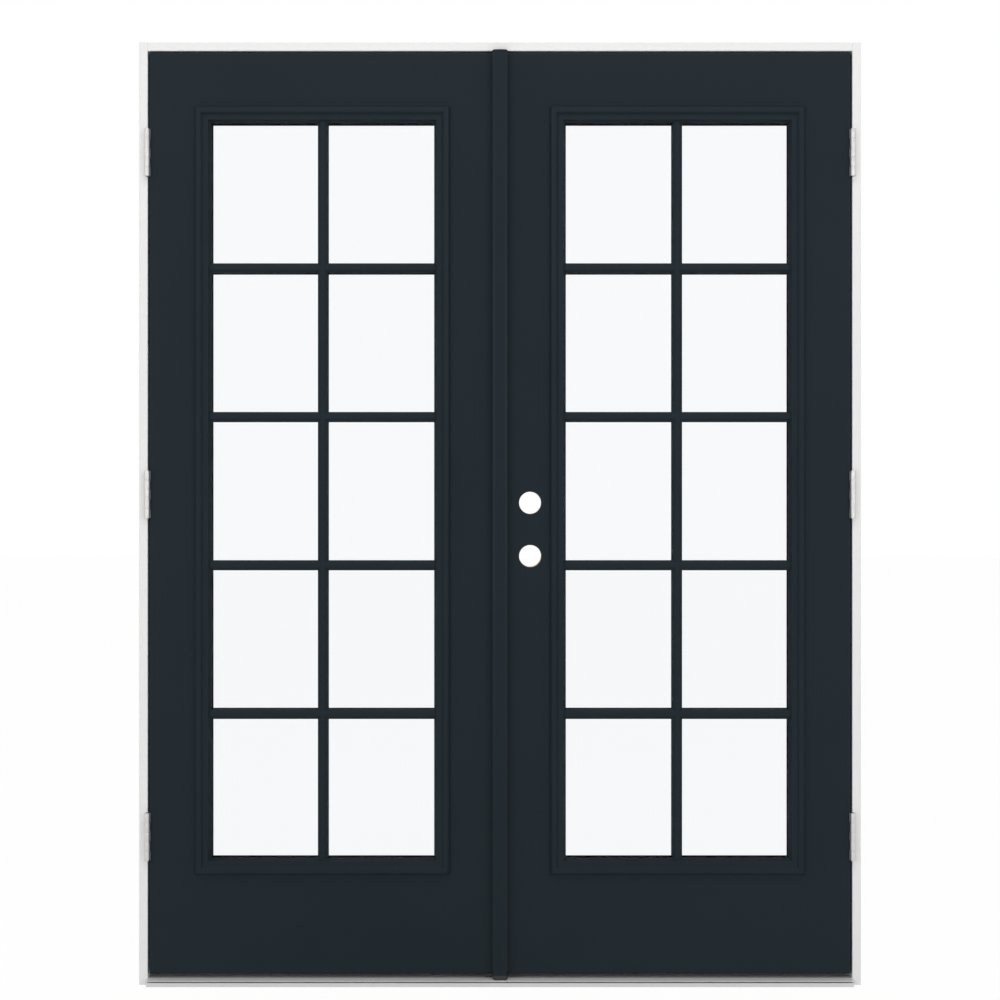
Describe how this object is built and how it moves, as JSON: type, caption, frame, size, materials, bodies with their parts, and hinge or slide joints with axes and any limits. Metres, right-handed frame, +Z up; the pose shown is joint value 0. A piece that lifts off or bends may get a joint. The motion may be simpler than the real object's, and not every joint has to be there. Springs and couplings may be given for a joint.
{
  "type": "french doors",
  "caption": "Outswing French doors with divided lites, astragal and flush bolts, hung on butt hinges in a rabbeted frame with an aluminium sill.",
  "frame": {"origin": "centre line of the opening, at the underside of the sill and in the plane of the frame's outdoor face", "axes": "+X to the right seen from outside, +Y into the building, +Z up"},
  "size_m": [1.562, 0.1359, 2.0392],
  "materials": {
    "primed_white": "factory primed, satin white",
    "slate_paint": "satin slate paint",
    "mill_aluminium": "satin mill aluminium",
    "composite_substrate": "matte composite",
    "black_vinyl": "matte black vinyl",
    "clear_glass": "clear float glass",
    "black_spacer": "matte black",
    "foam": "rigid foam",
    "softwood": "planed softwood",
    "satin_nickel": "satin nickel plate",
    "zinc_steel": "zinc plated"
  },
  "bodies": {
    "frame": {"jamb_left": "primed_white", "jamb_right": "primed_white", "jamb_head": "primed_white", "sill_extrusion": "mill_aluminium", "sill_substrate": "composite_substrate", "sill_bumper_seal": "black_vinyl", "weatherstrip_left": "black_vinyl", "weatherstrip_right": "black_vinyl", "weatherstrip_head": "black_vinyl", "frame_screws": "zinc_steel", "hinge_left_jamb_leaves": "satin_nickel", "hinge_right_jamb_leaves": "satin_nickel", "hinge_left_pins": "satin_nickel", "hinge_right_pins": "satin_nickel", "jamb_hinge_screws": "zinc_steel", "bolt_keepers": "satin_nickel"},
    "left_door": {"left_outer_skin": "slate_paint", "left_inner_skin": "slate_paint", "left_hinge_stile": "softwood", "left_lock_stile": "softwood", "left_top_rail": "softwood", "left_bottom_rail": "softwood", "left_foam_core": "foam", "left_outer_lite_frame": "slate_paint", "left_inner_lite_frame": "slate_paint", "left_outer_pane": "clear_glass", "left_inner_pane": "clear_glass", "left_glass_spacer": "black_spacer", "left_outer_muntins": "slate_paint", "left_inner_muntins": "slate_paint", "left_lite_screws": "zinc_steel", "left_door_sweep": "black_vinyl", "left_hinge_screws": "zinc_steel", "hinge_left_door_leaves": "satin_nickel", "flush_bolt_plates": "satin_nickel"},
    "right_door": {"right_outer_skin": "slate_paint", "right_inner_skin": "slate_paint", "right_hinge_stile": "softwood", "right_lock_stile": "softwood", "right_top_rail": "softwood", "right_bottom_rail": "softwood", "right_foam_core": "foam", "right_outer_lite_frame": "slate_paint", "right_inner_lite_frame": "slate_paint", "right_outer_pane": "clear_glass", "right_inner_pane": "clear_glass", "right_glass_spacer": "black_spacer", "right_outer_muntins": "slate_paint", "right_inner_muntins": "slate_paint", "right_lite_screws": "zinc_steel", "right_door_sweep": "black_vinyl", "right_hinge_screws": "zinc_steel", "hinge_right_door_leaves": "satin_nickel", "right_lock_block": "softwood", "astragal": "slate_paint", "astragal_seal": "black_vinyl", "astragal_boot": "black_vinyl", "astragal_screws": "zinc_steel"},
    "flush_bolt_top": {"flush_bolt_top": "satin_nickel"},
    "flush_bolt_bottom": {"flush_bolt_bottom": "satin_nickel"}
  },
  "joints": [
    {"name": "right_door_swing", "type": "hinge", "parent": "frame", "child": "right_door", "pos_m": [0.7625, -0.0065, 0], "axis": [0, 0, 1], "range_deg": [0, 170]},
    {"name": "left_door_swing", "type": "hinge", "parent": "frame", "child": "left_door", "pos_m": [-0.7625, -0.0065, 0], "axis": [0, 0, -1], "range_deg": [0, 170]},
    {"name": "flush_bolt_top_slide", "type": "slide", "parent": "left_door", "child": "flush_bolt_top", "axis": [0, 0, 1], "range_m": [0, 0.016]},
    {"name": "flush_bolt_bottom_slide", "type": "slide", "parent": "left_door", "child": "flush_bolt_bottom", "axis": [0, 0, -1], "range_m": [0, 0.02]}
  ],
  "couplings": [
    {"joint": "left_door_swing", "follows": "right_door_swing", "ratio": 1}
  ]
}
